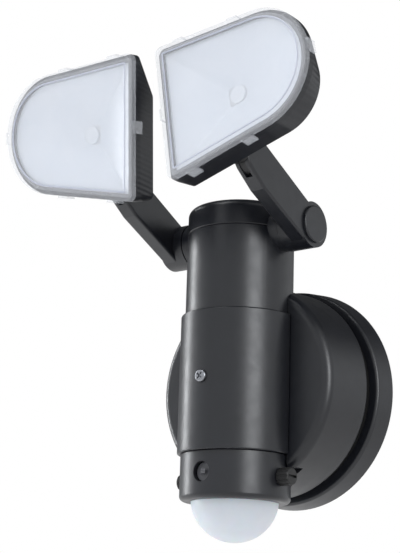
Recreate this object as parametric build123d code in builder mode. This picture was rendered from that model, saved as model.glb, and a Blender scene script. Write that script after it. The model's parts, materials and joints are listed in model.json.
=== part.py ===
from build123d import *
import math
import os

# Motion sensor security light with two lamp heads on folding arms.
# Frame: +Z up, the wall is the plane y = 0, the front is -Y, the origin is the centre of the wall face.
# All lengths are millimetres, all angles are degrees.

# --- clearances and common wall sizes -----------------------------------------------------------
fit_gap = 0.1  # between fixed pieces that slide into each other
running_gap = 0.06  # radial, between a pin or a dial and its bore
face_gap = 0.3  # between faces that turn past each other
seat_gap = 0.02  # radial, where a ring is seated on a neck
wall = 2.2  # moulded walls
screw_radius = 1.5  # M3 shanks
screw_hole_radius = 1.7  # M3 clearance holes
screw_head_radius = 2.75
screw_head_height = 1.7
boss_radius = 3.4

# --- wall plate and drum, coaxial about Y ---------------------------------------------------------
plate_radius = 51.0
plate_front_radius = 49.8
plate_depth = 10.5
plate_floor = 2.8
plate_edge_round = 1.5
rim_inner_radius = 44.0
spigot_radius = 42.3
spigot_wall = 2.4
spigot_overlap = 6.0  # how far the spigot reaches into the drum
wall_seal_outer_radius = 49.0
wall_seal_inner_radius = 46.0
wall_seal_depth = 1.6
plate_hole_spacing = 66.7  # centre to centre, as on a switch box
plate_hole_radius = 2.3

neck_depth = 3.9  # the dark groove between plate and drum
neck_radius = 45.2

drum_rear_radius = 48.0
drum_front_radius = 46.3
drum_behind_axis = 3.6  # from the drum's face back from the tube's axis
drum_edge_round = 4.0
drum_rear_round = 3.0
drum_wall = 2.5
lock_screw_length = 8.5

grommet_radius = 9.0
grommet_flange = 2.0
grommet_flange_depth = 1.2
cable_bore_radius = 4.0

# --- inside the drum ------------------------------------------------------------------------------
terminal_width = 34.0
terminal_height = 14.0
terminal_depth = 11.5
terminal_below = 19.0  # its centre, below the drum's axis
terminal_pitch = 10.0
terminal_screw_radius = 2.0
driver_board_width = 52.0
driver_board_height = 18.0
driver_board_above = 17.5
board_thickness = 1.6
component_gap = 2.6  # between the transformer and the trough
standoff_radius = 2.6
standoff_inset = 3.0  # from the board's edges
transformer_size = 13.0
transformer_height = 6.0
capacitor_radius = 3.0
capacitor_length = 15.0

# --- tube, cap and band, coaxial about a vertical axis ---------------------------------------------
tube_reach = 48.0  # from the wall to the tube's axis
tube_radius = 24.2
tube_wall = 2.4
tube_bottom = -31.8
cap_seam = 68.2  # also the height of the arm pivots
cap_top = 80.0
cap_edge_round = 3.6
cap_seam_chamfer = 0.4
cap_seal_wall = 1.5
cap_seal_height = 3.0
cap_screw_offset = 16.6
cap_screw_length = 14.0
tube_boss_length = 12.0
band_thickness = 1.8
band_screw_length = 10.0
band_top = 30.1
band_edge_round = 0.6
band_seam_gap = 0.35  # between the band's sides and the drum's face
tube_screw_height = 20.0
tube_screw_length = 8.0

# --- sensor head ------------------------------------------------------------------------------------
sensor_overhang = 0.2  # radial, beyond the tube
sensor_bottom = -52.2
sensor_edge_round = 2.2
sensor_neck_radius = 12.0
sensor_neck_bore = 8.0
retainer_radius = 16.0
retainer_height = 2.0
dome_rim_width = 5.1  # from the sensor head's edge to the dome
dome_height = 17.2
dome_wall = 1.4
dome_flange_width = 2.1
dome_flange_height = 1.5
dome_lip = 1.8  # thickness of the lip that the flange rests on
sensor_board_gap = 3.7  # radial, inside the sensor head
board_foot_spacing = 24.0
board_foot_radius = 2.0
sensor_board_height = 5.5  # below the sensor head's top
pir_radius = 4.6
pir_height = 4.2
pir_base_radius = 5.2
pir_window_width = 4.2
pir_window_height = 3.2
dial_height = -41.0
dial_radius = 4.3
dial_recess = 2.2
dial_length = 3.1
dial_grip_width = 1.7
dial_grip_height = 1.6
dial_rest_turn = 48.0  # how far its grip is turned at rest
dial_slot_width = 1.1
dial_slot_depth = 1.2
knob_height = -42.0
knob_radius = 3.9
knob_length = 6.2  # beyond the sensor head
knob_shaft_radius = 3.2
knob_ridges = 12
pot_size = 7.0
sensor_pan_limit = 12.0
knob_pocket_gap = 0.8

# --- arm pivots and arms ------------------------------------------------------------------------------
stub_radius = 10.0
stub_length = 2.8  # beyond the tube
stub_flange_radius = 12.0
stub_flange_thickness = 2.5
pivot_pin_radius = 5.0
pivot_pin_length = 9.5
arm_boss_radius = 10.3
arm_lean = 64.0  # from the vertical, forwards
arm_beyond_stub = 9.1  # from the stub's face to the arm's middle
arm_thickness = 8.0
arm_height = 17.0
arm_drop = 1.6  # the bar's centre line, below the line of its pivots
arm_length = 45.8  # pivot to pivot
arm_edge_round = 1.2
arm_cap_radius = 8.3
arm_cap_thickness = 1.4
arm_cap_spigot_radius = 6.4
arm_cap_spigot_length = 1.2
arm_cavity_radius = 6.5
pivot_washer_thickness = 1.0
pivot_screw_length = 10.0
eye_radius = 8.2  # the bar's round end at the lamp head
eye_taper = 10.0  # length over which the bar runs into its round end
fork_open = 3.0  # how far behind the pin the fork is open for the tongue's neck

# --- lamp heads -----------------------------------------------------------------------------------------
head_flat_length = 64.5
head_length = 75.5
head_corner_radius = 3.0
head_end_radius = 27.0
lens_depth = 3.2
lens_skin = 1.6
lens_wall = 1.8
lens_rim_width = 3.6
lens_step = 0.5
gasket_depth = 1.0
housing_rim_depth = 3.0
housing_depth = 12.2
housing_wall = 2.0
housing_top_drop = 15.0
housing_back_end_radius = 20.0
housing_back_inset = 1.0
housing_end_inset = 4.0  # at the round end
housing_floor_inset = 0.6  # more than the wall, at the housing's floor
clip_width = 5.4
clip_thickness = 1.2
clip_reach = 3.0
fin_count = 6
fin_pitch = 4.6
fin_groove_width = 2.2
fin_groove_depth = 0.9
reflector_skin = 1.0
led_window = 9.6
led_board_width = 18.0
led_board_thickness = 1.2
led_radius = 3.9
light_from_flat = 33.0
light_below_middle = 0.5
led_height = 0.7

pivot_from_flat = 26.5  # along the head, from its flat side to the swivel
foot_radius = 5.8
foot_thickness = 1.8
tongue_thickness = 3.2
tongue_half_width = 4.6  # of its neck, between the eye and the foot
tongue_inset = 0.4  # its round end inside the arm's
swivel_screw_radius = 1.6
swivel_head_radius = 2.7
swivel_head_height = 1.5
swivel_head_gap = 0.3  # to the housing's lower wall
tilt_pin_radius = 2.0
tilt_pin_inset = 0.8  # the pin's hole stops this far under the arm's outer face

# how each lamp head stands at rest: turned down about X, then rolled about its own facing line
rest_tilt = {"left": 12.0, "right": -2.2}
rest_roll = {"left": 7.2, "right": -11.0}
sides = {"left": -1, "right": 1}

# --- worked out from the sizes above --------------------------------------------------------------------
drum_rear = plate_depth + neck_depth
drum_front = tube_reach - drum_behind_axis
drum_depth = drum_front - drum_rear
band_radius = tube_radius + band_thickness
sensor_radius = tube_radius + sensor_overhang
dome_radius = sensor_radius - dome_rim_width
dome_flange_radius = dome_radius + dome_flange_width
knob_reach = sensor_radius + knob_length
stub_reach = tube_radius + stub_length
arm_middle = stub_reach + arm_beyond_stub
head_edge_slope = math.asin((head_flat_length / 2 - head_end_radius) / (head_length - head_end_radius))
pivot_above_edge = (pivot_from_flat * math.tan(head_edge_slope) + housing_back_inset + housing_wall
                    + housing_floor_inset + swivel_head_radius + swivel_head_gap)
pivot_below_middle = head_flat_length / 2 - pivot_above_edge
pivot_behind_front = lens_depth + housing_depth + face_gap + foot_thickness + face_gap + eye_radius
tongue_radius = eye_radius - tongue_inset
tube_axis = Axis((0, -tube_reach, 0), (0, 0, 1))
tube_section = Plane(origin=(0, -tube_reach, 0), x_dir=(1, 0, 0), z_dir=(0, -1, 0))
tube_inner_radius = tube_radius - tube_wall
seat_radius = tube_radius + fit_gap
sensor_top = tube_bottom - face_gap
sensor_inner_radius = sensor_radius - wall
sensor_board_radius = sensor_inner_radius - sensor_board_gap
trough_back = tube_reach - seat_radius - wall
driver_standoff = trough_back - component_gap - transformer_height - board_thickness - plate_floor
tube_floor_top = tube_bottom + tube_wall


def tube_level(height):
    """Horizontal sketch plane centred on the tube's axis at a height."""
    return Plane(origin=(0, -tube_reach, height), z_dir=(0, 0, 1))


def side_plane(distance, height, side):
    """Sketch plane that faces outwards (+X or -X), centred over the tube's axis line."""
    return Plane(origin=(side * distance, -tube_reach, height), x_dir=(0, side, 0), z_dir=(side, 0, 0))


def save(piece, name):
    """Labels a finished piece and writes it under its own name."""
    piece.label = name
    export_step(piece, f"parts/{name}.step")


def wall_plate_piece():
    """Cup-shaped plate that is screwed to the wall, with a spigot for the drum."""
    with BuildPart() as plate:
        with BuildSketch(Plane.XY):
            with BuildLine():
                Polyline(
                    (0, 0),
                    (plate_radius, 0),
                    (plate_front_radius, -plate_depth),
                    (spigot_radius, -plate_depth),
                    (spigot_radius, -(drum_rear + spigot_overlap)),
                    (spigot_radius - spigot_wall, -(drum_rear + spigot_overlap)),
                    (spigot_radius - spigot_wall, -plate_floor),
                    (0, -plate_floor),
                    close=True,
                )
            make_face()
        revolve(axis=Axis.Y)
        front_edge = plate.edges().filter_by(GeomType.CIRCLE).filter_by(
            lambda e: abs(e.radius - plate_front_radius) < 0.01
        )
        fillet(front_edge, radius=plate_edge_round)
        with BuildSketch(Plane.XZ):
            Circle(wall_seal_outer_radius)
            Circle(wall_seal_inner_radius, mode=Mode.SUBTRACT)
        extrude(amount=wall_seal_depth, mode=Mode.SUBTRACT)
        with BuildSketch(Plane.XZ):
            Circle(grommet_radius)
            with GridLocations(1, plate_hole_spacing, 1, 2):
                Circle(plate_hole_radius)
        extrude(amount=plate_floor, mode=Mode.SUBTRACT)
        with BuildSketch(Plane.XZ):
            Circle(grommet_radius + grommet_flange)
        extrude(amount=grommet_flange_depth, mode=Mode.SUBTRACT)
        with BuildSketch(Plane.XZ.offset(plate_floor)):
            with Locations((0, driver_board_above)):
                with GridLocations(driver_board_width - 2 * standoff_inset, driver_board_height - 2 * standoff_inset,
                                   2, 2):
                    Circle(standoff_radius)
        extrude(amount=driver_standoff)
        for angle in (90, 270):
            with BuildSketch(lock_screw_plane(angle)):
                Circle(screw_radius)
            extrude(amount=-drum_rear_radius / 2, mode=Mode.SUBTRACT)
    return plate.part


def lock_screw_plane(angle):
    """Plane that faces outwards at the drum's rim, at the depth of the lock screws."""
    depth = (drum_rear + drum_wall + drum_rear + spigot_overlap) / 2 + 0.6
    out = Vector(math.cos(math.radians(angle)), 0, math.sin(math.radians(angle)))
    return Plane(origin=out * drum_rear_radius - Vector(0, depth, 0), x_dir=(0, 1, 0), z_dir=out)


def ring_about_y(inner_radius, outer_radius, start_depth, end_depth):
    """Flat ring round the drum's axis, between two depths from the wall."""
    with BuildPart() as ring:
        with BuildSketch(Plane.XZ.offset(start_depth)):
            Circle(outer_radius)
            Circle(inner_radius, mode=Mode.SUBTRACT)
        extrude(amount=end_depth - start_depth)
    return ring.part


def grommet_piece():
    """Rubber grommet in the cable hole, with a flange on each side of the plate's floor."""
    with BuildPart() as grommet:
        with BuildSketch(Plane.XY):
            with BuildLine():
                Polyline(
                    (cable_bore_radius, 0),
                    (grommet_radius + grommet_flange - fit_gap, 0),
                    (grommet_radius + grommet_flange - fit_gap, -grommet_flange_depth),
                    (grommet_radius, -grommet_flange_depth),
                    (grommet_radius, -plate_floor),
                    (grommet_radius + grommet_flange, -plate_floor),
                    (grommet_radius + grommet_flange, -plate_floor - grommet_flange_depth),
                    (cable_bore_radius, -plate_floor - 2 * grommet_flange_depth),
                    close=True,
                )
            make_face()
        revolve(axis=Axis.Y)
    return grommet.part


def drum_piece():
    """Round housing in front of the plate, with an upright trough that the tube is seated in."""
    with BuildPart() as drum:
        with BuildSketch(Plane.XY):
            with BuildLine():
                Polyline(
                    (0, -drum_rear),
                    (drum_rear_radius, -drum_rear),
                    (drum_front_radius, -drum_front),
                    (0, -drum_front),
                    close=True,
                )
            make_face()
        revolve(axis=Axis.Y)
        front_edge = drum.edges().filter_by(GeomType.CIRCLE).filter_by(
            lambda e: abs(e.radius - drum_front_radius) < 0.01
        )
        fillet(front_edge, radius=drum_edge_round)
        rear_edge = drum.edges().filter_by(GeomType.CIRCLE).filter_by(
            lambda e: abs(e.radius - drum_rear_radius) < 0.01
        )
        fillet(rear_edge, radius=drum_rear_round)
        # hollow, left open inside the seal
        with BuildSketch(Plane.XY):
            with BuildLine():
                Polyline(
                    (0, -drum_rear),
                    (spigot_radius + fit_gap, -drum_rear),
                    (spigot_radius + fit_gap, -drum_rear - drum_wall),
                    (drum_rear_radius - drum_wall, -drum_rear - drum_wall),
                    (drum_front_radius - drum_wall, -drum_front + drum_wall),
                    (0, -drum_front + drum_wall),
                    close=True,
                )
            make_face()
        revolve(axis=Axis.Y, mode=Mode.SUBTRACT)
        # trough wall, kept inside the drum's own outline
        with BuildPart(mode=Mode.PRIVATE) as trough_wall:
            with BuildSketch(tube_level(-drum_rear_radius)):
                Circle(seat_radius + wall)
            extrude(amount=2 * drum_rear_radius)
            for side in (-1, 1):
                with BuildSketch(tube_level(knob_height - knob_radius - knob_pocket_gap - wall)):
                    knob_pocket_outline(side, wall)
                extrude(amount=2 * (knob_radius + knob_pocket_gap + wall))
            with BuildSketch(Plane.XY):
                with BuildLine():
                    Polyline(
                        (0, -drum_rear - fit_gap),
                        (drum_rear_radius - 1, -drum_rear - fit_gap),
                        (drum_front_radius - 1, -drum_front + drum_edge_round),
                        (drum_front_radius - drum_edge_round, -drum_front + fit_gap),
                        (0, -drum_front + fit_gap),
                        close=True,
                    )
                make_face()
            revolve(axis=Axis.Y, mode=Mode.INTERSECT)
        add(trough_wall.part)
        # the trough itself, a little wider where the sensor head turns
        with BuildSketch(tube_level(-drum_rear_radius)):
            Circle(seat_radius)
        extrude(amount=2 * drum_rear_radius, mode=Mode.SUBTRACT)
        with BuildSketch(tube_level(-drum_rear_radius)):
            Circle(sensor_radius + 2 * face_gap)
        extrude(amount=drum_rear_radius + tube_bottom, mode=Mode.SUBTRACT)
        for side in (-1, 1):
            with BuildSketch(tube_level(knob_height - knob_radius - knob_pocket_gap)):
                knob_pocket_outline(side, 0)
            extrude(amount=2 * (knob_radius + knob_pocket_gap), mode=Mode.SUBTRACT)
        for angle in (90, 270):
            with BuildSketch(lock_screw_plane(angle)):
                Circle(screw_hole_radius)
            extrude(amount=-2 * drum_wall, mode=Mode.SUBTRACT)
            with BuildSketch(lock_screw_plane(angle)):
                Circle(screw_head_radius + 2 * fit_gap)
            extrude(amount=-drum_wall / 2, mode=Mode.SUBTRACT)
        with BuildSketch(Plane.XZ.offset(trough_back - wall)):
            with GridLocations(1, 2 * tube_screw_height, 1, 2):
                Circle(screw_hole_radius)
        extrude(amount=3 * wall, mode=Mode.SUBTRACT)
    return drum.part


def knob_pocket_outline(side, grow):
    """Outline, seen from above, of the space that a side knob sweeps as the sensor head pans."""
    reach = knob_reach + knob_pocket_gap + grow
    half = knob_radius + knob_pocket_gap + grow
    back = reach * math.sin(math.radians(sensor_pan_limit)) + half
    with Locations((side * reach / 2, (back - half) / 2)):
        Rectangle(reach, back + half)


def screw_piece(plane, head_radius, head_height, shank_radius, length, slot_width=0.7):
    """Pan head screw whose head stands on the plane and whose shank goes down into it."""
    with BuildPart() as screw:
        with BuildSketch(plane):
            Circle(head_radius)
        extrude(amount=head_height)
        fillet(screw.faces().sort_by(Axis(plane.origin, plane.z_dir))[-1].edges(), head_height * 0.45)
        with BuildSketch(plane):
            Circle(shank_radius)
        extrude(amount=-length)
        with BuildSketch(plane.offset(head_height * 0.45)):
            Rectangle(head_radius * 1.2, slot_width)
            Rectangle(slot_width, head_radius * 1.2)
        extrude(amount=head_height, mode=Mode.SUBTRACT)
    return screw.part


def terminal_block_piece():
    """Three-way terminal block on the plate's floor."""
    with BuildPart() as block:
        with BuildSketch(Plane.XZ.offset(plate_floor)):
            with Locations((0, -terminal_below)):
                Rectangle(terminal_width, terminal_height)
        extrude(amount=terminal_depth)
        with BuildSketch(Plane.XZ.offset(plate_floor + terminal_depth)):
            with Locations((0, -terminal_below)):
                with GridLocations(terminal_pitch, 1, 3, 1):
                    Circle(terminal_screw_radius + 2 * fit_gap)
        extrude(amount=-terminal_depth / 2, mode=Mode.SUBTRACT)
        with BuildSketch(Plane.XY.offset(-terminal_below + terminal_height / 2)):
            with Locations((0, -plate_floor - terminal_depth / 4)):
                with GridLocations(terminal_pitch, 1, 3, 1):
                    Circle(terminal_screw_radius * 0.8)
        extrude(amount=-terminal_height / 2, mode=Mode.SUBTRACT)
    return block.part


def terminal_screws_piece():
    """Three clamp screws in the terminal block."""
    with BuildPart() as screws:
        start = plate_floor + terminal_depth / 2
        with BuildSketch(Plane.XZ.offset(start)):
            with Locations((0, -terminal_below)):
                with GridLocations(terminal_pitch, 1, 3, 1):
                    Circle(terminal_screw_radius)
        extrude(amount=terminal_depth / 3)
        with BuildSketch(Plane.XZ.offset(start + terminal_depth / 3)):
            with Locations((0, -terminal_below)):
                with GridLocations(terminal_pitch, 1, 3, 1):
                    Rectangle(2 * terminal_screw_radius, 0.8)
        extrude(amount=-0.8, mode=Mode.SUBTRACT)
    return screws.part


def driver_board_piece():
    """Circuit board of the power supply on four standoffs."""
    with BuildPart() as board:
        with BuildSketch(Plane.XZ.offset(plate_floor + driver_standoff)):
            with Locations((0, driver_board_above)):
                RectangleRounded(driver_board_width, driver_board_height, 2)
        extrude(amount=board_thickness)
    return board.part


def driver_parts_piece():
    """Transformer block and two capacitors that stand on the driver board."""
    top = plate_floor + driver_standoff + board_thickness
    with BuildPart() as parts:
        with BuildSketch(Plane.XZ.offset(top)):
            with Locations((0, driver_board_above - 1)):
                Rectangle(transformer_size, transformer_size)
        extrude(amount=transformer_height)
        for place in (-1, 1):
            start = place * (transformer_size / 2 + 1.5)
            with BuildSketch(Plane(origin=(start, -top - capacitor_radius, driver_board_above - 1),
                                   z_dir=(place, 0, 0))):
                Circle(capacitor_radius)
            extrude(amount=capacitor_length)
    return parts.part


def tube_piece():
    """Main upright tube with a floor for the sensor head and half of each pivot seat."""
    with BuildPart() as tube:
        with BuildSketch(tube_level(tube_bottom)):
            Circle(tube_radius)
        extrude(amount=cap_seam - tube_bottom)
        chamfer(tube.faces().sort_by(Axis.Z)[-1].edges(), cap_seam_chamfer)
        with BuildSketch(tube_level(tube_floor_top)):
            Circle(tube_inner_radius)
        extrude(amount=cap_seam - tube_floor_top, mode=Mode.SUBTRACT)
        with BuildSketch(tube_level(tube_bottom)):
            Circle(sensor_neck_radius + running_gap)
        extrude(amount=tube_wall, mode=Mode.SUBTRACT)
        with BuildSketch(tube_level(cap_seam)):
            with GridLocations(1, 2 * cap_screw_offset, 1, 2):
                Circle(boss_radius)
                Rectangle(2 * boss_radius, 0.1)
            for place in (-1, 1):
                with Locations((0, place * (cap_screw_offset + tube_inner_radius) / 2)):
                    Rectangle(2 * boss_radius, tube_inner_radius - cap_screw_offset + tube_wall / 2)
        extrude(amount=-tube_boss_length)
        with BuildSketch(tube_level(cap_seam)):
            with GridLocations(1, 2 * cap_screw_offset, 1, 2):
                Circle(screw_radius)
        extrude(amount=-tube_boss_length + 1, mode=Mode.SUBTRACT)
        # boss behind the band screw and two bosses for the screws from the drum
        with BuildSketch(Plane.XZ.offset(tube_reach + tube_inner_radius + tube_wall / 2)):
            Circle(boss_radius)
        extrude(amount=-tube_boss_length + tube_wall)
        with BuildSketch(Plane.XZ.offset(tube_reach - tube_inner_radius - tube_wall / 2)):
            with GridLocations(1, 2 * tube_screw_height, 1, 2):
                Circle(boss_radius)
        extrude(amount=tube_screw_length)
        with BuildSketch(Plane.XZ.offset(tube_reach + tube_radius)):
            Circle(screw_radius)
        extrude(amount=-tube_boss_length, mode=Mode.SUBTRACT)
        with BuildSketch(Plane.XZ.offset(tube_reach - tube_radius)):
            with GridLocations(1, 2 * tube_screw_height, 1, 2):
                Circle(screw_radius)
        extrude(amount=tube_screw_length, mode=Mode.SUBTRACT)
        with BuildSketch(Plane.YZ.offset(-2 * tube_radius)):
            with Locations((-tube_reach, cap_seam)):
                Circle(stub_radius + seat_gap)
        extrude(amount=4 * tube_radius, mode=Mode.SUBTRACT)
        # slot that lets the screw through the boss stay open at the band's height
        with BuildSketch(tube_level(tube_bottom)):
            with Locations((0, tube_radius)):
                Rectangle(2 * wall, wall)
        extrude(amount=wall, mode=Mode.SUBTRACT)
    return tube.part


def cap_piece():
    """Top cap of the tube, which closes the upper half of each pivot seat."""
    with BuildPart() as cap:
        with BuildSketch(tube_level(cap_seam)):
            Circle(tube_radius)
        extrude(amount=cap_top - cap_seam)
        fillet(cap.faces().sort_by(Axis.Z)[-1].edges(), cap_edge_round)
        chamfer(cap.faces().sort_by(Axis.Z)[0].edges(), cap_seam_chamfer)
        with BuildSketch(tube_level(cap_seam)):
            Circle(tube_inner_radius)
        extrude(amount=cap_top - cap_seam - 2 * wall, mode=Mode.SUBTRACT)
        with BuildSketch(tube_level(cap_seam)):
            with GridLocations(1, 2 * cap_screw_offset, 1, 2):
                Circle(boss_radius)
        extrude(amount=cap_top - cap_seam - wall)
        with BuildSketch(Plane.YZ.offset(-2 * tube_radius)):
            with Locations((-tube_reach, cap_seam)):
                Circle(stub_radius + seat_gap)
        extrude(amount=4 * tube_radius, mode=Mode.SUBTRACT)
        with Locations(tube_level(cap_top)):
            with GridLocations(1, 2 * cap_screw_offset, 1, 2):
                CounterBoreHole(screw_hole_radius, screw_head_radius + fit_gap, screw_head_height + 0.2)
    return cap.part


def cap_seal_piece():
    """Two rubber arcs behind the seam of the cap, in front of and behind the pivots."""
    with BuildPart() as seal:
        with BuildSketch(tube_level(cap_seam - cap_seal_height / 2)):
            Circle(tube_inner_radius - seat_gap)
            Circle(tube_inner_radius - cap_seal_wall, mode=Mode.SUBTRACT)
            Rectangle(2 * tube_radius, 2 * (stub_flange_radius + 1), mode=Mode.SUBTRACT)
            with GridLocations(1, 2 * cap_screw_offset, 1, 2):
                Circle(boss_radius + fit_gap, mode=Mode.SUBTRACT)
            for place in (-1, 1):
                with Locations((0, place * (cap_screw_offset + tube_inner_radius) / 2)):
                    Rectangle(2 * boss_radius + fit_gap, tube_inner_radius, mode=Mode.SUBTRACT)
        extrude(amount=cap_seal_height)
    return seal.part


def band_piece():
    """Cover round the front of the tube, with straight sides that run back to the drum's face."""
    inner = tube_radius + fit_gap
    back = drum_behind_axis - band_seam_gap
    with BuildPart() as band:
        with BuildSketch(tube_level(tube_bottom)):
            Circle(band_radius)
            with Locations((0, back / 2)):
                Rectangle(2 * band_radius, back)
            Circle(inner, mode=Mode.SUBTRACT)
            with Locations((0, back)):
                Rectangle(2 * inner, 2 * back, mode=Mode.SUBTRACT)
            with Locations((0, back + band_radius)):
                Rectangle(3 * band_radius, 2 * band_radius, mode=Mode.SUBTRACT)
        extrude(amount=band_top - tube_bottom)
        outer = band.edges().filter_by(GeomType.CIRCLE).filter_by(lambda e: abs(e.radius - band_radius) < 0.01)
        sides_outer = band.edges().filter_by(GeomType.LINE).filter_by(
            lambda e: abs(abs(e.center().X) - band_radius) < 0.01 and abs(e.center().Y + tube_reach) > back / 4
        )
        fillet(outer + sides_outer, band_edge_round)
        with BuildSketch(Plane.XZ.offset(tube_reach + tube_radius)):
            Circle(screw_hole_radius)
        extrude(amount=2 * wall, mode=Mode.SUBTRACT)
        with BuildSketch(Plane.XZ.offset(tube_reach + band_radius - 0.3)):
            Circle(screw_head_radius + fit_gap)
        extrude(amount=wall, mode=Mode.SUBTRACT)
    return band.part


def sensor_housing_piece():
    """Turning head under the tube with a neck through the tube's floor and a lip for the dome."""
    with BuildPart() as housing:
        with BuildSketch(tube_section):
            with BuildLine():
                Polyline(
                    (sensor_neck_bore, sensor_top),
                    (sensor_neck_bore, tube_floor_top + face_gap + retainer_height),
                    (sensor_neck_radius, tube_floor_top + face_gap + retainer_height),
                    (sensor_neck_radius, sensor_top),
                    (sensor_radius, sensor_top),
                    (sensor_radius, sensor_bottom),
                    (dome_radius + fit_gap, sensor_bottom),
                    (dome_radius + fit_gap, sensor_bottom + dome_lip),
                    (sensor_inner_radius, sensor_bottom + dome_lip),
                    (sensor_inner_radius, sensor_top - wall),
                    (sensor_neck_bore, sensor_top - wall),
                    close=True,
                )
            make_face()
        revolve(axis=tube_axis)
        rim = housing.edges().filter_by(GeomType.CIRCLE).group_by(Axis.Z)[0].sort_by(SortBy.RADIUS)[-1]
        fillet(rim, sensor_edge_round)
        with BuildSketch(Plane(origin=(0, -tube_reach, dial_height), x_dir=(1, 0, 0), z_dir=(0, -1, 0))):
            Circle(dial_radius + running_gap)
        extrude(amount=tube_reach, mode=Mode.SUBTRACT)
        for side in (-1, 1):
            with BuildSketch(side_plane(0, knob_height, side)):
                Circle(knob_shaft_radius + running_gap)
            extrude(amount=tube_reach, mode=Mode.SUBTRACT)
    return housing.part


def retainer_piece():
    """Ring on the sensor head's neck that holds it on the tube's floor."""
    with BuildPart() as ring:
        with BuildSketch(tube_level(tube_floor_top + face_gap)):
            Circle(retainer_radius)
            Circle(sensor_neck_radius + seat_gap, mode=Mode.SUBTRACT)
        extrude(amount=retainer_height)
        chamfer(ring.faces().sort_by(Axis.Z)[-1].edges().sort_by(SortBy.RADIUS)[-1:], 0.6)
    return ring.part


def dome_piece():
    """Milky dome in front of the motion sensor, a hollow spherical cap with a flange."""
    ball = (dome_radius**2 + dome_height**2) / (2 * dome_height)
    centre = sensor_bottom - dome_height + ball
    flange_base = sensor_bottom + dome_lip
    with BuildPart() as dome:
        with BuildSketch(tube_section):
            with Locations((0, centre)):
                Circle(ball)
            with Locations((0, sensor_bottom + ball)):
                Rectangle(3 * ball, 2 * ball, mode=Mode.SUBTRACT)
            with Locations((dome_radius / 2, (sensor_bottom + flange_base) / 2)):
                Rectangle(dome_radius, dome_lip)
            with Locations((dome_flange_radius / 2, flange_base + dome_flange_height / 2)):
                Rectangle(dome_flange_radius, dome_flange_height)
            with Locations((0, centre)):
                Circle(ball - dome_wall, mode=Mode.SUBTRACT)
            with Locations((0, flange_base + dome_flange_height / 2)):
                Rectangle(2 * (dome_radius - dome_wall), dome_height / 2, mode=Mode.SUBTRACT)
            with Locations((-ball, centre)):
                Rectangle(2 * ball, 4 * ball, mode=Mode.SUBTRACT)
        revolve(axis=tube_axis)
    return dome.part


def sensor_board_piece():
    """Round circuit board in the sensor head, with notches beside the dials."""
    with BuildPart() as board:
        with BuildSketch(tube_level(sensor_top - sensor_board_height)):
            Circle(sensor_board_radius)
        extrude(amount=board_thickness)
        with BuildSketch(tube_level(sensor_top - sensor_board_height + board_thickness)):
            with GridLocations(board_foot_spacing, 1, 2, 1):
                Circle(board_foot_radius)
        extrude(amount=sensor_board_height - board_thickness - wall)
    return board.part


def pir_piece():
    """Metal can of the infrared sensor under the board."""
    base = sensor_top - sensor_board_height
    with BuildPart() as can:
        with BuildSketch(tube_level(base)):
            Circle(pir_base_radius)
        extrude(amount=-0.8)
        with BuildSketch(tube_level(base - 0.8)):
            Circle(pir_radius)
        extrude(amount=-pir_height + 0.8)
        fillet(can.faces().sort_by(Axis.Z)[0].edges(), 0.5)
        with BuildSketch(tube_level(base - pir_height)):
            Rectangle(pir_window_width, pir_window_height)
        extrude(amount=0.3, mode=Mode.SUBTRACT)
    return can.part


def pot_blocks_piece():
    """Three small potentiometer blocks that hang from the board behind the dials."""
    top = sensor_top - sensor_board_height
    dial_back = dial_face_distance() - dial_length
    with BuildPart() as pots:
        with BuildSketch(tube_level(top)):
            with Locations((0, -(dial_back - pot_size / 2) + face_gap)):
                Rectangle(pot_size, pot_size)
            for side in (-1, 1):
                with Locations((side * (dial_back - pot_size / 2 - face_gap), 0)):
                    Rectangle(pot_size, pot_size)
        extrude(amount=-(top - knob_height + knob_shaft_radius))
    return pots.part


def dial_face_distance():
    """Distance from the tube's axis to the front dial's face, a little inside the housing."""
    return math.sqrt(sensor_radius**2 - dial_radius**2) - dial_recess


def front_dial_piece():
    """Dial at the bottom of a round hole in the front of the sensor head, with a raised grip across it."""
    face = Plane(origin=(0, -tube_reach - dial_face_distance(), dial_height), x_dir=(1, 0, 0), z_dir=(0, -1, 0))
    turned = face.rotated((0, 0, -dial_rest_turn))
    with BuildPart() as dial:
        with BuildSketch(face):
            Circle(dial_radius)
        extrude(amount=-dial_length)
        chamfer(dial.faces().sort_by(Axis.Y)[0].edges(), 0.3)
        with BuildSketch(turned):
            Rectangle(2 * dial_radius - 1.4, dial_grip_width)
            with Locations((dial_radius / 2, 0)):
                RegularPolygon(radius=dial_grip_width, side_count=3)
        extrude(amount=dial_grip_height)
    return dial.part


def side_knob_piece(side):
    """Ridged knob on the side of the sensor head with a shaft through its wall."""
    shaft_end = dial_face_distance() - dial_length
    with BuildPart() as knob:
        with BuildSketch(side_plane(sensor_radius + face_gap, knob_height, side)):
            Circle(knob_radius)
        extrude(amount=knob_reach - sensor_radius - face_gap)
        outer = knob.faces().sort_by(Axis((0, 0, 0), (side, 0, 0)))[-1]
        fillet(outer.edges(), 0.8)
        with BuildSketch(side_plane(sensor_radius + face_gap, knob_height, side)):
            with PolarLocations(knob_radius + 0.25, knob_ridges):
                Circle(0.6)
        extrude(amount=knob_reach - sensor_radius, mode=Mode.SUBTRACT)
        with BuildSketch(side_plane(shaft_end, knob_height, side)):
            Circle(knob_shaft_radius)
        extrude(amount=sensor_radius + face_gap - shaft_end)
        with BuildSketch(side_plane(knob_reach, knob_height, side)):
            Rectangle(2 * knob_radius - 2, dial_slot_width)
        extrude(amount=-dial_slot_depth, mode=Mode.SUBTRACT)
    return knob.part


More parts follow.
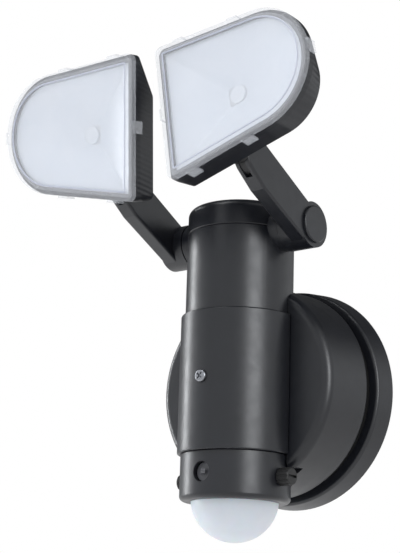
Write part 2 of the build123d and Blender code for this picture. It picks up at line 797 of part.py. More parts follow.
def trunnion_piece(side):
    """Pivot seat held between tube and cap, with the pin that the arm turns on."""
    inner = stub_inner_face()
    with BuildPart() as trunnion:
        with BuildSketch(side_plane(inner, cap_seam, side)):
            Circle(stub_flange_radius)
            with Locations((0, cap_top - cap_seam - 2 * wall - fit_gap + stub_flange_radius)):
                Rectangle(3 * stub_flange_radius, 2 * stub_flange_radius, mode=Mode.SUBTRACT)
        extrude(amount=stub_flange_thickness)
        with BuildSketch(side_plane(inner, cap_seam, side)):
            Circle(stub_radius)
        extrude(amount=stub_reach - inner)
        with BuildSketch(side_plane(stub_reach, cap_seam, side)):
            Circle(pivot_pin_radius)
        extrude(amount=pivot_pin_length)
        with BuildSketch(side_plane(stub_reach + pivot_pin_length, cap_seam, side)):
            Circle(screw_radius)
        extrude(amount=-2 * pivot_pin_length, mode=Mode.SUBTRACT)
    return trunnion.part


def stub_inner_face():
    """Distance of the flange's inner face from the middle plane, so that it clears the tube's bore."""
    bore_edge = math.sqrt((tube_inner_radius - fit_gap) ** 2 - stub_flange_radius**2)
    return bore_edge - stub_flange_thickness


def arm_frame(side):
    """Plane through the arm's pivot, facing outwards, with its x axis along the arm."""
    lean = math.radians(arm_lean)
    along = Vector(0, -math.sin(lean), math.cos(lean))
    return Plane(origin=(side * arm_middle, -tube_reach, cap_seam), x_dir=along, z_dir=(side, 0, 0))


def arm_piece(side):
    """Flat arm with a boss on the tube's pivot and a forked round end for the lamp head."""
    frame = arm_frame(side)
    inner = stub_reach + face_gap - arm_middle
    outer = arm_thickness / 2
    # the drop is downwards and forwards; which way that is in the sketch depends on the side
    drop = arm_drop * side
    pin_end = stub_reach + pivot_pin_length - arm_middle
    with BuildPart() as arm:
        with BuildSketch(frame.offset(-outer)):
            with Locations(((arm_length - eye_taper) / 2, drop)):
                Rectangle(arm_length - eye_taper, arm_height)
            with Locations((arm_length, 0)):
                Circle(eye_radius)
            make_hull()
        extrude(amount=arm_thickness)
        fillet(arm.faces().filter_by(Plane.YZ).edges(), arm_edge_round)
        with BuildSketch(frame.offset(inner)):
            Circle(arm_boss_radius)
        extrude(amount=outer - inner)
        with BuildSketch(frame.offset(inner)):
            Circle(pivot_pin_radius + running_gap)
        extrude(amount=outer - inner, mode=Mode.SUBTRACT)
        with BuildSketch(frame.offset(pin_end - fit_gap)):
            Circle(arm_cavity_radius)
        extrude(amount=outer, mode=Mode.SUBTRACT)
        # fork for the tongue of the head's bracket, open at the end, and the blind hole for the cross pin
        slot = tongue_thickness + 2 * fit_gap
        with BuildSketch(frame.offset(-slot / 2)):
            with Locations((arm_length, 0)):
                Circle(tongue_radius + face_gap)
            with Locations((arm_length + eye_radius - fork_open, 0)):
                Rectangle(2 * eye_radius, 4 * eye_radius)
        extrude(amount=slot, mode=Mode.SUBTRACT)
        with BuildSketch(frame.offset(-outer)):
            with Locations((arm_length, 0)):
                Circle(tilt_pin_radius + seat_gap)
        extrude(amount=arm_thickness - tilt_pin_inset, mode=Mode.SUBTRACT)
    return arm.part


def pivot_washer_piece(side):
    """Spring washer under the head of the pivot screw."""
    frame = arm_frame(side)
    start = stub_reach + pivot_pin_length - arm_middle
    with BuildPart() as washer:
        with BuildSketch(frame.offset(start)):
            Circle(arm_cavity_radius - fit_gap)
            Circle(screw_radius + fit_gap, mode=Mode.SUBTRACT)
        extrude(amount=pivot_washer_thickness)
    return washer.part


def pivot_screw_piece(side):
    """Screw that holds the arm on its pivot pin."""
    start = stub_reach + pivot_pin_length - arm_middle + pivot_washer_thickness
    plane = arm_frame(side).offset(start)
    return screw_piece(plane, screw_head_radius, screw_head_height * 0.7, screw_radius - seat_gap,
                       pivot_screw_length)


def arm_cap_piece(side):
    """Round cover over the arm's pivot."""
    frame = arm_frame(side)
    with BuildPart() as cover:
        with BuildSketch(frame.offset(arm_thickness / 2)):
            Circle(arm_cap_radius)
        extrude(amount=arm_cap_thickness)
        face = cover.faces().sort_by(Axis((0, 0, 0), (side, 0, 0)))[-1]
        fillet(face.edges(), arm_cap_thickness * 0.5)
        with BuildSketch(frame.offset(arm_thickness / 2)):
            Circle(arm_cap_spigot_radius)
            Circle(arm_cap_spigot_radius - 1.2, mode=Mode.SUBTRACT)
        extrude(amount=-arm_cap_spigot_length)
    return cover.part


def head_pivot(side):
    """Point on the middle line of an arm's eye."""
    return arm_frame(side).from_local_coords(Vector(arm_length, 0, 0))


def head_frame(name):
    """Plane at a head's pivot that faces forwards, with x to the right, turned to the rest pose."""
    forward = Vector(0, -1, 0).rotate(Axis.X, rest_tilt[name])
    right = Vector(1, 0, 0).rotate(Axis.Y, rest_roll[name]).rotate(Axis.X, rest_tilt[name])
    return Plane(origin=head_pivot(sides[name]), x_dir=right, z_dir=forward)


def bracket_frame(name):
    """Plane at a head's pivot that is tilted with the head but not rolled."""
    forward = Vector(0, -1, 0).rotate(Axis.X, rest_tilt[name])
    return Plane(origin=head_pivot(sides[name]), x_dir=(1, 0, 0), z_dir=forward)


def d_outline(side, flat, top, bottom, end_x, end_y, end_radius, inset, corner):
    """D shape from lines tangent to its round end, moved inwards all round by the inset."""
    reach = end_x - flat - inset
    points = []
    for up, edge in ((1, top - end_y), (-1, end_y - bottom)):
        whole = end_x - flat
        slope = math.acos(end_radius / math.hypot(whole, edge)) - math.atan2(whole, edge)
        rise = (end_radius - inset + reach * math.sin(slope)) / math.cos(slope)
        touch_x = end_x + (end_radius - inset) * math.sin(slope)
        touch_y = end_y + up * (end_radius - inset) * math.cos(slope)
        points.append(((side * (flat + inset), end_y + up * rise), (side * touch_x, touch_y)))
    (top_corner, top_touch), (bottom_corner, bottom_touch) = points
    with BuildLine() as outline:
        FilletPolyline(top_touch, top_corner, bottom_corner, bottom_touch, radius=max(corner - inset, 0.4))
        ThreePointArc(bottom_touch, (side * (end_x + end_radius - inset), end_y), top_touch)
    make_face(outline.edges())


def front_outline(side, inset):
    """D shape of the head's front: flat towards the middle, two converging edges, a round end."""
    half = head_flat_length / 2
    end_x = head_length - head_end_radius - pivot_from_flat
    d_outline(side, -pivot_from_flat, pivot_below_middle + half, pivot_below_middle - half, end_x,
              pivot_below_middle, head_end_radius, inset, head_corner_radius)


def back_outline(side, inset):
    """Smaller D at the back of the housing, lowered at the top."""
    top = pivot_below_middle + head_flat_length / 2 - housing_top_drop
    bottom = pivot_below_middle - head_flat_length / 2 + housing_back_inset
    end_x = head_length - pivot_from_flat - housing_end_inset - housing_back_end_radius
    end_y = pivot_below_middle - head_end_radius + housing_back_inset + housing_back_end_radius
    d_outline(side, housing_back_inset / 2 - pivot_from_flat, top, bottom, end_x, end_y,
              housing_back_end_radius, inset, head_corner_radius)


def clip_places(side):
    """Places of the lens clips: distance along x, height above the pivot, and the edge's angle."""
    flat = -side * pivot_from_flat
    slope = math.degrees(head_edge_slope)
    places = [(flat, pivot_below_middle, 90)]
    end_centre = head_length - head_end_radius
    places.append((flat + side * head_length, pivot_below_middle, 90))
    for share in (0.25, 0.85):
        along = end_centre * share
        drop = along * math.tan(math.radians(slope))
        for up in (-1, 1):
            height = pivot_below_middle + up * (head_flat_length / 2 - drop)
            places.append((flat + side * along, height, -up * side * slope))
    return places


def lens_piece(name):
    """Clear cover: a D-shaped tray with a stepped rim and snap clips that reach over the housing."""
    side = sides[name]
    frame = head_frame(name)
    front = frame.offset(pivot_behind_front)
    with BuildPart() as lens:
        with BuildSketch(front):
            front_outline(side, 0)
        extrude(amount=-lens_depth)
        fillet(lens.faces().sort_by(Axis(front.origin, front.z_dir))[-1].edges(), 0.8)
        with BuildSketch(front.offset(-lens_skin)):
            front_outline(side, lens_wall)
        extrude(amount=-lens_depth, mode=Mode.SUBTRACT)
        with BuildSketch(front.offset(-lens_step)):
            front_outline(side, lens_rim_width)
        extrude(amount=lens_step, mode=Mode.SUBTRACT)
        for x, y, angle in clip_places(side):
            with BuildSketch(front.offset(-lens_depth - clip_reach)):
                with Locations(Location((x, y, 0), (0, 0, angle))):
                    Rectangle(clip_width, 2 * clip_thickness)
            extrude(amount=clip_reach + lens_depth - 1)
        with BuildSketch(front.offset(-lens_depth)):
            front_outline(side, -fit_gap)
        extrude(amount=-2 * clip_reach, mode=Mode.SUBTRACT)
    return lens.part


def gasket_piece(name):
    """Rubber gasket between lens and housing."""
    side = sides[name]
    rear = head_frame(name).offset(pivot_behind_front - lens_depth)
    with BuildPart() as gasket:
        with BuildSketch(rear):
            front_outline(side, lens_wall + fit_gap)
        extrude(amount=gasket_depth)
        with BuildSketch(rear):
            front_outline(side, lens_wall + fit_gap + 1.4)
        extrude(amount=gasket_depth, mode=Mode.SUBTRACT)
    return gasket.part


def housing_piece(name):
    """Dark tray behind the lens, lowered at the top, with cooling grooves and a seat for the bracket."""
    side = sides[name]
    frame = head_frame(name)
    front = frame.offset(pivot_behind_front - lens_depth)
    step = frame.offset(pivot_behind_front - lens_depth - housing_rim_depth)
    back = frame.offset(pivot_behind_front - lens_depth - housing_depth)
    floor = back.offset(housing_wall)
    with BuildPart() as housing:
        with BuildSketch(front):
            front_outline(side, 0)
        extrude(amount=-housing_rim_depth)
        with BuildSketch(step):
            front_outline(side, 0)
        with BuildSketch(back):
            back_outline(side, 0)
        loft(ruled=True)
        with BuildPart(mode=Mode.PRIVATE) as hollow:
            with BuildSketch(front):
                front_outline(side, housing_wall)
            extrude(amount=-housing_rim_depth)
            with BuildSketch(step):
                front_outline(side, housing_wall)
            with BuildSketch(floor):
                back_outline(side, housing_wall + housing_floor_inset)
            loft(ruled=True)
        add(hollow.part, mode=Mode.SUBTRACT)
        # horizontal cooling grooves across the back
        with BuildSketch(back):
            with Locations((side * (head_length / 2 - pivot_from_flat + 4), 2 + fin_pitch * fin_count / 2 + 8)):
                with GridLocations(1, fin_pitch, 1, fin_count):
                    SlotOverall(head_length * 0.48, fin_groove_width)
        extrude(amount=fin_groove_depth, mode=Mode.SUBTRACT)
        # hole for the swivel screw
        with BuildSketch(back):
            Circle(swivel_screw_radius + running_gap)
        extrude(amount=2 * housing_wall, mode=Mode.SUBTRACT)
    return housing.part


def reflector_piece(name):
    """White reflector: a shallow faceted bowl from the lens down to the light source."""
    side = sides[name]
    frame = head_frame(name)
    front = frame.offset(pivot_behind_front - lens_depth)
    step = frame.offset(pivot_behind_front - lens_depth - housing_rim_depth)
    back_height = pivot_behind_front - lens_depth - housing_depth + housing_wall + led_board_thickness
    back = frame.offset(back_height + fit_gap)
    with BuildPart() as reflector:
        with BuildSketch(front.offset(-fit_gap)):
            front_outline(side, housing_wall + 2 * fit_gap)
        with BuildSketch(back):
            led_outline(side, led_window / 2 + reflector_skin + 1.5)
        loft(ruled=True)
        with BuildPart(mode=Mode.PRIVATE) as bowl:
            with BuildSketch(front.offset(-fit_gap)):
                front_outline(side, housing_wall + 2 * fit_gap + 2 * reflector_skin)
            with BuildSketch(back):
                led_outline(side, led_window / 2)
            loft(ruled=True)
        add(bowl.part, mode=Mode.SUBTRACT)
    return reflector.part


def led_outline(side, half):
    """Small window round the light source, with the same number of edges as the head's outline."""
    x = side * led_x(side)
    d_outline(side, x - half, led_y() + half, led_y() - half, x + half * 0.2, led_y(), half * 0.8, 0, half / 3)


def led_x(side):
    """Distance of the light source from the pivot along the head."""
    return side * (light_from_flat - pivot_from_flat)


def led_y():
    """Height of the light source above the pivot."""
    return pivot_below_middle - light_below_middle


def led_board_piece(name):
    """Aluminium board of the light source on the housing's floor."""
    side = sides[name]
    floor = head_frame(name).offset(pivot_behind_front - lens_depth - housing_depth + housing_wall)
    with BuildPart() as board:
        with BuildSketch(floor):
            with Locations((led_x(side), led_y())):
                RectangleRounded(led_board_width, led_board_width, 2)
        extrude(amount=led_board_thickness)
    return board.part


def led_chip_piece(name):
    """Light source: a round chip on the aluminium board."""
    side = sides[name]
    base = pivot_behind_front - lens_depth - housing_depth + housing_wall + led_board_thickness
    with BuildPart() as chip:
        with BuildSketch(head_frame(name).offset(base)):
            with Locations((led_x(side), led_y())):
                Circle(led_radius)
        extrude(amount=led_height)
    return chip.part


def bracket_piece(name):
    """Foot that the head swivels on, with a tongue that reaches into the arm's fork."""
    frame = bracket_frame(name)
    foot_top = pivot_behind_front - lens_depth - housing_depth - face_gap
    neck = foot_top - foot_thickness / 2
    cheek = Plane(origin=frame.origin - Vector(tongue_thickness / 2, 0, 0), x_dir=frame.z_dir, z_dir=(1, 0, 0))
    with BuildPart() as bracket:
        with BuildSketch(frame.offset(foot_top)):
            Circle(foot_radius)
        extrude(amount=-foot_thickness)
        with BuildSketch(cheek):
            Circle(tongue_radius)
            with Locations((neck / 2, 0)):
                Rectangle(neck, 2 * tongue_half_width)
        extrude(amount=tongue_thickness)
        with BuildSketch(cheek):
            Circle(tilt_pin_radius + running_gap)
        extrude(amount=tongue_thickness, mode=Mode.SUBTRACT)
        with BuildSketch(frame.offset(foot_top)):
            Circle(swivel_screw_radius - seat_gap)
        extrude(amount=-foot_thickness, mode=Mode.SUBTRACT)
    return bracket.part


def tilt_pin_piece(name):
    """Cross pin pressed into the arm's fork from the side that faces the tube."""
    side = sides[name]
    inner = -arm_thickness / 2 + 2 * fit_gap
    outer = arm_thickness / 2 - tilt_pin_inset - fit_gap
    frame = arm_frame(side).offset(inner)
    with BuildPart() as pin:
        with BuildSketch(frame):
            with Locations((arm_length, 0)):
                Circle(tilt_pin_radius)
        extrude(amount=outer - inner)
        chamfer(pin.edges().filter_by(GeomType.CIRCLE), fit_gap)
    return pin.part


def swivel_screw_piece(name):
    """Screw from inside the head into the bracket's foot."""
    frame = bracket_frame(name)
    floor = pivot_behind_front - lens_depth - housing_depth + housing_wall
    plane = frame.offset(floor + fit_gap)
    length = floor + fit_gap - (pivot_behind_front - lens_depth - housing_depth - face_gap - foot_thickness)
    return screw_piece(plane, swivel_head_radius, swivel_head_height, swivel_screw_radius - 2 * seat_gap,
                       length, 0.9)


os.makedirs("parts", exist_ok=True)

save(wall_plate_piece(), "wall_plate")
save(ring_about_y(wall_seal_inner_radius, wall_seal_outer_radius, 0, wall_seal_depth), "wall_seal")
save(ring_about_y(spigot_radius + seat_gap, neck_radius, plate_depth, drum_rear), "neck_seal")
save(grommet_piece(), "cable_grommet")
save(drum_piece(), "drum_housing")
save(terminal_block_piece(), "terminal_block")
save(terminal_screws_piece(), "terminal_screws")
save(driver_board_piece(), "driver_board")
save(driver_parts_piece(), "driver_parts")
save(tube_piece(), "tube_body")
save(cap_piece(), "tube_cap")
save(cap_seal_piece(), "cap_seal")
save(band_piece(), "band_cover")

lock_screws = Compound(children=[
    screw_piece(lock_screw_plane(angle).offset(-drum_wall / 2), screw_head_radius, screw_head_height * 0.7,
                screw_radius - seat_gap, lock_screw_length)
    for angle in (90, 270)
])
save(lock_screws, "lock_screws")

cap_screws = Compound(children=[
    screw_piece(Plane(origin=(0, -tube_reach + offset, cap_top - screw_head_height - 0.2), z_dir=(0, 0, 1)),
                screw_head_radius, screw_head_height, screw_radius - seat_gap, cap_screw_length)
    for offset in (-cap_screw_offset, cap_screw_offset)
])
save(cap_screws, "cap_screws")

band_screw_plane = Plane(
    origin=(0, -tube_reach - band_radius + 0.3, 0), x_dir=Vector(1, 0, 0).rotate(Axis.Y, 40), z_dir=(0, -1, 0)
)
band_screw = screw_piece(band_screw_plane, screw_head_radius, screw_head_height, screw_radius - seat_gap,
                         band_screw_length)
save(band_screw, "band_screw")

tube_screws = Compound(children=[
    screw_piece(Plane(origin=(0, -trough_back, height), x_dir=(1, 0, 0), z_dir=(0, 1, 0)),
                screw_head_radius, screw_head_height * 0.7, screw_radius - seat_gap, tube_screw_length)
    for height in (-tube_screw_height, tube_screw_height)
])
save(tube_screws, "tube_screws")

save(sensor_housing_piece(), "sensor_housing")
save(retainer_piece(), "sensor_retainer")
save(dome_piece(), "sensor_dome")
save(sensor_board_piece(), "sensor_board")
save(pir_piece(), "infrared_sensor")
save(pot_blocks_piece(), "dial_potentiometers")
save(front_dial_piece(), "front_dial")

for side_name, side_sign in sides.items():
    save(side_knob_piece(side_sign), f"side_knob_{side_name}")
    save(trunnion_piece(side_sign), f"arm_trunnion_{side_name}")
    save(arm_piece(side_sign), f"arm_{side_name}")
    save(pivot_washer_piece(side_sign), f"pivot_washer_{side_name}")
    save(pivot_screw_piece(side_sign), f"pivot_screw_{side_name}")
    save(arm_cap_piece(side_sign), f"arm_cap_{side_name}")
    save(bracket_piece(side_name), f"head_bracket_{side_name}")
    save(tilt_pin_piece(side_name), f"tilt_pin_{side_name}")
    save(swivel_screw_piece(side_name), f"swivel_screw_{side_name}")
    save(housing_piece(side_name), f"head_housing_{side_name}")
    save(lens_piece(side_name), f"head_lens_{side_name}")
    save(gasket_piece(side_name), f"lens_gasket_{side_name}")
    save(reflector_piece(side_name), f"reflector_{side_name}")
    save(led_board_piece(side_name), f"led_board_{side_name}")
    save(led_chip_piece(side_name), f"led_chip_{side_name}")
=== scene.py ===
import json
import math

import bmesh
import bpy
import numpy as np
from bpy.props import FloatProperty, FloatVectorProperty, PointerProperty
from bpy.types import Operator, Panel, PropertyGroup
from mathutils import Matrix, Vector


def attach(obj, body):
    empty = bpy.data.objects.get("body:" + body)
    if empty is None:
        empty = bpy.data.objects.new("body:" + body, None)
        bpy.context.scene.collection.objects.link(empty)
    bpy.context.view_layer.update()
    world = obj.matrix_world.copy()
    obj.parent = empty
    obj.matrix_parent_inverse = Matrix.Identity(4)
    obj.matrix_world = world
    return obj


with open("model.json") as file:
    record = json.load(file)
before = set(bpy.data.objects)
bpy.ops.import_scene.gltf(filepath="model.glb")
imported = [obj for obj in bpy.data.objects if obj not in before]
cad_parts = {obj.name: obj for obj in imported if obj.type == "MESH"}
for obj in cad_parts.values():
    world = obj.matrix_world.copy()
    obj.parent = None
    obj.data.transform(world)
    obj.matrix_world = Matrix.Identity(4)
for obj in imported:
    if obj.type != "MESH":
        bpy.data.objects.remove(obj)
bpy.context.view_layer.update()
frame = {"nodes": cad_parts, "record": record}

bl_info = {
    "name": "Motion sensor security light",
    "version": (1, 0, 0),
    "blender": (4, 5, 0),
    "location": "View3D > Sidebar > Security light",
    "description": "Dresses the wall light with its lens rims, materials, studio stage and camera",
    "category": "Object",
}

SIDES = {"left": -1, "right": 1}
MM = 0.001

# Where each lamp head stands at rest, the same values as the frame: pivot in millimetres, angles in degrees.
HEAD_PIVOT = {"left": (-36.1, -89.165, 88.277), "right": (36.1, -89.165, 88.277)}
HEAD_TILT = {"left": 12.0, "right": -2.2}
HEAD_ROLL = {"left": 7.2, "right": -11.0}
PIVOT_FROM_FLAT = 26.5
PIVOT_BELOW_MIDDLE = 22.764
PIVOT_BEHIND_FRONT = 26.0
HEAD_FLAT_LENGTH = 64.5
HEAD_LENGTH = 75.5
HEAD_END_RADIUS = 27.0
HEAD_CORNER_RADIUS = 3.0

# The camera that the photograph was taken with: place in metres, viewing axes, focal length in pixels of 400.
CAMERA_PLACE = Vector((0.3958, -0.5652, -0.1179))
CAMERA_AZIMUTH = 35.0
CAMERA_ELEVATION = -9.7
CAMERA_PAN = 4.03
CAMERA_TILT = -4.71
CAMERA_ROLL = 1.79
FOCAL_PIXELS = 1482.4
IMAGE_WIDTH = 400

# The two close tones of the dark housing plastic, shared by its plain and its ribbed surfaces.
CHARCOAL_LOW = "#0f1116"
CHARCOAL_HIGH = "#181a21"
RIB_SPACING_MM = 2.2

# The studio's lamps are a little cool, as the greys of the photograph are.
COOL_WHITE = (0.96, 0.98, 1.0, 1.0)
PLAIN_WHITE = (1, 1, 1, 1)

# Each lamp: place, the point it is aimed at, and its size, in metres; and whether it only shows in reflections.
KEY_LAMP = ((-0.15, -0.70, 0.95), (0.0, -0.06, 0.04), (0.50, 0.50), False)
STRIP_LAMP = ((-0.81, -0.19, 0.22), (0.0, -0.05, 0.04), (0.12, 0.70), False)
SIDE_LAMP = ((0.81, -0.36, 0.24), (0.0, -0.05, 0.04), (0.42, 0.54), True)

# In reflections the studio darkens towards this direction, between these two levels of its dot product.
DARK_DIRECTION = (-0.4, 0.3, 1.0)
DARK_FROM, DARK_TO = 0.35, 0.70

FLOOR_HALF_WIDTH = 3.0
SENSOR_WIDTH_MM = 36.0
CLIP_START = 0.02

# The line round each lens: how far its foot is sunk into the window, in mm, and the points round its section.
RIM_SUNK_MM = 0.5
RIM_SECTION_POINTS = 12


def linear(hex_colour):
    """An sRGB hex colour as a linear colour with alpha 1."""
    channels = [int(hex_colour[i:i + 2], 16) / 255 for i in (1, 3, 5)]
    return [c / 12.92 if c <= 0.04045 else ((c + 0.055) / 1.055) ** 2.4 for c in channels] + [1.0]


def add(tree, kind, inputs=None, **settings):
    """Adds one node with its settings, and links or sets its inputs."""
    made = tree.nodes.new(kind)
    for key, value in settings.items():
        setattr(made, key, value)
    for key, value in (inputs or {}).items():
        if isinstance(value, bpy.types.NodeSocket):
            tree.links.new(value, made.inputs[key])
        else:
            made.inputs[key].default_value = value
    return made


def start_material(name):
    """An empty node material with Object coordinates and an output."""
    material = bpy.data.materials.new(name)
    material.use_nodes = True
    tree = material.node_tree
    tree.nodes.clear()
    place = add(tree, "ShaderNodeTexCoord").outputs["Object"]
    output = add(tree, "ShaderNodeOutputMaterial")
    return material, tree, place, output


def grain(tree, place, size_mm, detail=3.0):
    """Noise whose grains are about size_mm across."""
    return add(tree, "ShaderNodeTexNoise", {"Vector": place, "Scale": 1000 / size_mm,
                                            "Detail": detail}).outputs["Fac"]


def spread(tree, value, low, high):
    """Brings a noise's middle half to the range from low to high."""
    return add(tree, "ShaderNodeMapRange", {"Value": value, "From Min": 0.25, "From Max": 0.75,
                                            "To Min": low, "To Max": high}).outputs["Result"]


def two_tone(tree, factor, low, high):
    """A colour between two close tones."""
    mixed = add(tree, "ShaderNodeMix", data_type="RGBA")
    tree.links.new(factor, mixed.inputs["Factor"])
    mixed.inputs[6].default_value = linear(low)
    mixed.inputs[7].default_value = linear(high)
    return mixed.outputs[2]


def relief(tree, height, strength, depth_mm):
    """Surface relief from a height pattern."""
    return add(tree, "ShaderNodeBump", {"Height": height, "Strength": strength,
                                        "Distance": depth_mm * MM}).outputs["Normal"]


def charcoal_abs(name="charcoal_abs_moulded", low=CHARCOAL_LOW, high=CHARCOAL_HIGH, rough=(0.30, 0.40)):
    """Injection moulded ABS with a spark-eroded grain: a satin dark grey that holds soft streaks of light."""
    material, tree, place, output = start_material(name)
    cloud = grain(tree, place, 14.0)
    # the real grain is about 0.3 mm; it is drawn at 0.8 mm so that it shows
    skin = grain(tree, place, 0.8, 2.0)
    flow = grain(tree, place, 5.0)
    mixed = add(tree, "ShaderNodeMath", {0: skin, 1: flow}, operation="ADD")
    shader = add(tree, "ShaderNodeBsdfPrincipled", {
        "Base Color": two_tone(tree, cloud, low, high),
        "Roughness": spread(tree, flow, *rough),
        "IOR": 1.5,
        "Normal": relief(tree, mixed.outputs[0], 0.16, 0.06),
    })
    tree.links.new(shader.outputs[0], output.inputs[0])
    return material


def black_nylon_and_knob_shade():
    """Moulded black nylon of knobs and brackets: deeper and duller than the housing; on the side knobs its
    near-black is partly painted shade.
    """
    return charcoal_abs("black_nylon_and_painted_knob_shade", "#060607", "#0d0d0f", (0.48, 0.62))


def dial_acetal():
    """Acetal of the small slotted dial: a little paler and smoother than the housing."""
    return charcoal_abs("grey_acetal_dial", "#4a4b50", "#5a5b60", (0.30, 0.42))


def seal_rubber():
    """Moulded silicone rubber: black, dull, with a dusty bloom; at the neck between wall plate and drum its
    near-black is partly painted shade of the groove.
    """
    material, tree, place, output = start_material("black_rubber_and_painted_groove_shade")
    bloom = grain(tree, place, 6.0)
    skin = grain(tree, place, 1.0)
    shader = add(tree, "ShaderNodeBsdfPrincipled", {
        # at the neck this near-black also stands for the shade in the groove between wall plate and drum
        "Base Color": two_tone(tree, bloom, "#060606", "#0d0d0e"),
        "Roughness": spread(tree, bloom, 0.66, 0.84),
        "IOR": 1.42,
        "Specular IOR Level": 0.3,
        "Normal": relief(tree, skin, 0.2, 0.05),
    })
    tree.links.new(shader.outputs[0], output.inputs[0])
    return material


def frosted_polycarbonate():
    """Clear moulded polycarbonate with a fine prism texture inside: it shows the reflector as a pale, soft glow."""
    material, tree, place, output = start_material("clear_polycarbonate_prism")
    wave = add(tree, "ShaderNodeTexWave", {"Vector": place, "Scale": 1000 / 26.0, "Distortion": 2.2,
                                           "Detail": 1.0}, bands_direction="DIAGONAL").outputs["Fac"]
    flow = grain(tree, place, 12.0)
    shader = add(tree, "ShaderNodeBsdfPrincipled", {
        "Base Color": two_tone(tree, flow, "#e6ebf4", "#f6f8fd"),
        "Roughness": spread(tree, flow, 0.14, 0.24),
        "IOR": 1.585,
        "Alpha": 0.26,
        "Normal": relief(tree, wave, 0.10, 0.2),
    })
    tree.links.new(shader.outputs[0], output.inputs[0])
    return material


def rim_edge_painted_shade():
    """The same polycarbonate where it stands on edge in the rim, painted an opaque grey: the grey that clear plastic
    gathers on edge, which looks like a pencil line, is painted shade.
    """
    material, tree, place, output = start_material("polycarbonate_rim_painted_edge_shade")
    flow = grain(tree, place, 7.0)
    shader = add(tree, "ShaderNodeBsdfPrincipled", {
        "Base Color": two_tone(tree, flow, "#a9adbd", "#c3c7d4"),
        "Roughness": spread(tree, flow, 0.14, 0.24),
        "IOR": 1.585,
        "Normal": relief(tree, flow, 0.1, 0.1),
    })
    tree.links.new(shader.outputs[0], output.inputs[0])
    return material


def milky_polyethylene():
    """Thin milky polyethylene that infrared passes through: waxy, with a faint field of lens cells on its inside."""
    material, tree, place, output = start_material("milky_polyethylene_dome")
    cells = add(tree, "ShaderNodeTexVoronoi", {"Vector": place, "Scale": 1000 / 6.5},
                feature="DISTANCE_TO_EDGE").outputs["Distance"]
    edge = add(tree, "ShaderNodeMapRange", {"Value": cells, "From Min": 0.0, "From Max": 0.06,
                                            "To Min": 0.0, "To Max": 1.0}).outputs["Result"]
    cloud = grain(tree, place, 9.0)
    shader = add(tree, "ShaderNodeBsdfPrincipled", {
        "Base Color": two_tone(tree, cloud, "#c6cbd4", "#d4d9e1"),
        "Roughness": spread(tree, cloud, 0.30, 0.40),
        "IOR": 1.51,
        "Subsurface Weight": 0.35,
        "Subsurface Scale": 0.004,
        "Normal": relief(tree, edge, 0.05, 0.05),
    })
    tree.links.new(shader.outputs[0], output.inputs[0])
    return material


def reflector_polycarbonate():
    """Glossy white reflector, moulded, with a slight orange peel."""
    material, tree, place, output = start_material("white_reflector_gloss")
    peel = grain(tree, place, 3.0, 1.0)
    shader = add(tree, "ShaderNodeBsdfPrincipled", {
        "Base Color": two_tone(tree, peel, "#d9e0ea", "#e6ebf3"),
        "Roughness": spread(tree, peel, 0.16, 0.26),
        "IOR": 1.49,
        "Normal": relief(tree, peel, 0.12, 0.1),
    })
    tree.links.new(shader.outputs[0], output.inputs[0])
    return material


def zinc_plate():
    """Zinc plated steel screws, turned and tumbled: bright grey with fine rubs."""
    material, tree, place, output = start_material("zinc_plated_steel")
    rub = grain(tree, place, 0.9, 5.0)
    shader = add(tree, "ShaderNodeBsdfPrincipled", {
        "Base Color": two_tone(tree, rub, "#77797e", "#a0a2a7"),
        "Metallic": 1.0,
        "Roughness": spread(tree, rub, 0.22, 0.42),
        "Normal": relief(tree, rub, 0.1, 0.04),
    })
    tree.links.new(shader.outputs[0], output.inputs[0])
    return material


def blackened_steel():
    """Blackened steel pin, turned and oiled: nearly black with a dull metal gleam."""
    material, tree, place, output = start_material("blackened_steel_turned")
    rub = grain(tree, place, 0.9, 5.0)
    shader = add(tree, "ShaderNodeBsdfPrincipled", {
        "Base Color": two_tone(tree, rub, "#1e1e20", "#303033"),
        "Metallic": 1.0,
        "Roughness": spread(tree, rub, 0.35, 0.5),
        "Normal": relief(tree, rub, 0.1, 0.04),
    })
    tree.links.new(shader.outputs[0], output.inputs[0])
    return material


def light_board_aluminium():
    """Milled aluminium under the light source: pale with fine parallel lines."""
    material, tree, place, output = start_material("milled_aluminium_board")
    lines = add(tree, "ShaderNodeTexWave", {"Vector": place, "Scale": 1000 / 1.2, "Distortion": 0.4},
                bands_direction="X").outputs["Fac"]
    shader = add(tree, "ShaderNodeBsdfPrincipled", {
        "Base Color": two_tone(tree, lines, "#c9cbd0", "#dcdee2"),
        "Metallic": 1.0,
        "Roughness": spread(tree, lines, 0.3, 0.4),
        "Normal": relief(tree, lines, 0.15, 0.03),
    })
    tree.links.new(shader.outputs[0], output.inputs[0])
    return material


def solder_mask():
    """Green solder mask over copper tracks."""
    material, tree, place, output = start_material("green_solder_mask")
    tracks = add(tree, "ShaderNodeTexBrick", {"Vector": place, "Scale": 1000 / 9.0, "Mortar Size": 0.06},
                 ).outputs["Fac"]
    shader = add(tree, "ShaderNodeBsdfPrincipled", {
        "Base Color": two_tone(tree, tracks, "#1d5a2c", "#2e7a3e"),
        "Roughness": spread(tree, tracks, 0.3, 0.38),
        "IOR": 1.5,
        "Normal": relief(tree, tracks, 0.2, 0.05),
    })
    tree.links.new(shader.outputs[0], output.inputs[0])
    return material


def phosphor_silicone():
    """White diffusing silicone over the light source's phosphor: an off-white, slightly grainy disc."""
    material, tree, place, output = start_material("white_diffusing_silicone")
    dots = grain(tree, place, 0.8)
    shader = add(tree, "ShaderNodeBsdfPrincipled", {
        "Base Color": two_tone(tree, dots, "#dfe4eb", "#e8ecf2"),
        "Roughness": spread(tree, dots, 0.35, 0.5),
        "IOR": 1.41,
        "Normal": relief(tree, dots, 0.2, 0.05),
    })
    tree.links.new(shader.outputs[0], output.inputs[0])
    return material


